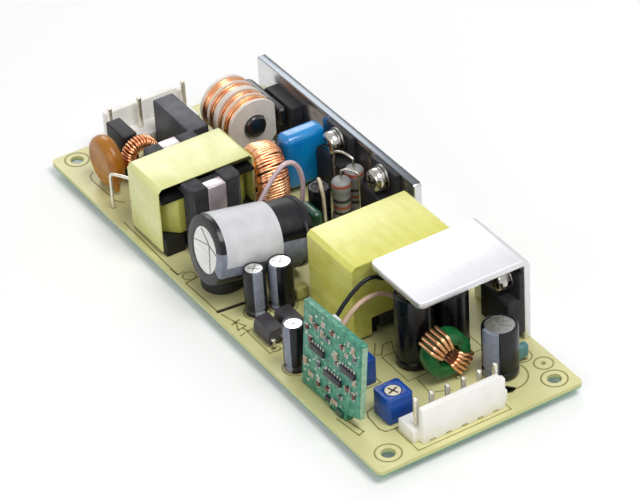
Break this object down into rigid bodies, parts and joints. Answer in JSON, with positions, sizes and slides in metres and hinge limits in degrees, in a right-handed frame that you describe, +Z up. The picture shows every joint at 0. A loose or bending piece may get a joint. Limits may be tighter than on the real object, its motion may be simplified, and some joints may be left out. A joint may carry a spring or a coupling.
{
  "type": "led power supply",
  "caption": "Open-frame constant-current LED power supply: a long board with a mains filter, power factor stage, isolated output and a pin header at each end.",
  "frame": {"origin": "Middle of the four fixing holes, on the underside of the board.", "axes": "X runs along the board from the mains end to the output end, Y across it towards the heatsinks, Z up out of the board."},
  "size_m": [0.1406, 0.0515, 0.0244],
  "materials": {
    "board_laminate": "satin solder mask on glass-epoxy laminate",
    "header_plastic": "moulded nylon",
    "tinned_metal": "bright tin plating",
    "black_plastic": "fine matt moulding",
    "pale_glass": "glass-bodied diode",
    "slate_plastic": "satin moulded box",
    "brown_coating": "glossy dipped epoxy",
    "ferrite": "matt sintered ferrite",
    "black_ferrite": "gloss coated ferrite",
    "copper_wire": "enamelled copper",
    "white_plastic": "moulded nylon",
    "bobbin_plastic": "moulded phenolic",
    "yellow_tape": "polyester tape",
    "spring_steel": "stainless spring strip",
    "bare_aluminium": "rolled sheet",
    "blue_coating": "glossy dipped epoxy",
    "can_aluminium": "bright drawn can",
    "black_sleeve": "shrunk sleeve",
    "bung_rubber": "moulded rubber",
    "silicone_pad": "soft silicone",
    "plated_screw": "bright nickel plating",
    "washer_steel": "zinc plated",
    "resistor_body": "coated body",
    "green_coating": "dipped lacquer",
    "teal_coating": "dipped lacquer",
    "yellow_coating": "dipped lacquer",
    "pink_sleeve": "woven sleeve",
    "green_laminate": "green solder mask",
    "blue_plastic": "moulded box",
    "rotor_plastic": "moulded rotor",
    "green_core": "epoxy coated powder core",
    "black_insulation": "wire insulation",
    "beige_insulation": "wire insulation"
  },
  "bodies": {
    "supply": {"beige_lead": "beige_insulation", "black_lead": "black_insulation", "boost_bobbin": "bobbin_plastic", "boost_coil": "yellow_tape", "boost_core": "ferrite", "boost_tape": "yellow_tape", "bridge_rectifier": "black_plastic", "bulk_capacitor_bung": "bung_rubber", "bulk_capacitor_can": "can_aluminium", "bulk_capacitor_pad": "silicone_pad", "bulk_capacitor_sleeve": "black_sleeve", "capacitor_cans": "can_aluminium", "capacitor_leads": "tinned_metal", "capacitor_sleeves": "black_sleeve", "ceramic_capacitor": "yellow_coating", "circuit_board": "board_laminate", "common_mode_bobbin": "white_plastic", "common_mode_core": "black_ferrite", "common_mode_windings": "copper_wire", "control_card": "green_laminate", "control_card_chips": "black_plastic", "core_clips": "spring_steel", "disc_capacitor": "teal_coating", "film_capacitor": "blue_coating", "filter_choke_core": "ferrite", "filter_choke_winding": "copper_wire", "fuse": "black_plastic", "green_capacitor": "green_coating", "heatsink_screws": "plated_screw", "heatsink_washers": "washer_steel", "mains_header_housing": "header_plastic", "mains_header_pins": "tinned_metal", "mains_leads": "tinned_metal", "optocouplers": "black_plastic", "output_choke_core": "green_core", "output_choke_winding": "copper_wire", "output_header_housing": "header_plastic", "output_header_pins": "tinned_metal", "output_heatsink": "bare_aluminium", "output_leads": "tinned_metal", "output_rectifier": "black_plastic", "power_leads": "tinned_metal", "power_resistors": "resistor_body", "power_transistors": "black_plastic", "rear_heatsink": "bare_aluminium", "ring_choke_core": "ferrite", "ring_choke_winding": "copper_wire", "sleeved_link": "pink_sleeve", "surge_diode": "pale_glass", "transformer_bobbin": "bobbin_plastic", "transformer_coil": "yellow_tape", "transformer_core": "ferrite", "transformer_tape": "yellow_tape", "trimmer_bodies": "blue_plastic", "varistor": "brown_coating", "x_capacitor": "slate_plastic"},
    "front_rotor": {"trimmer_rotor_front": "rotor_plastic"},
    "rear_rotor": {"trimmer_rotor_rear": "rotor_plastic"}
  },
  "joints": [
    {"name": "front_adjust", "type": "hinge", "parent": "supply", "child": "front_rotor", "pos_m": [0.05635, -0.013, 0.00675], "axis": [0, 0, 1], "range_deg": [-130, 130]},
    {"name": "rear_adjust", "type": "hinge", "parent": "supply", "child": "rear_rotor", "pos_m": [0.04235, -0.013, 0.00675], "axis": [0, 0, 1], "range_deg": [-130, 130]}
  ]
}
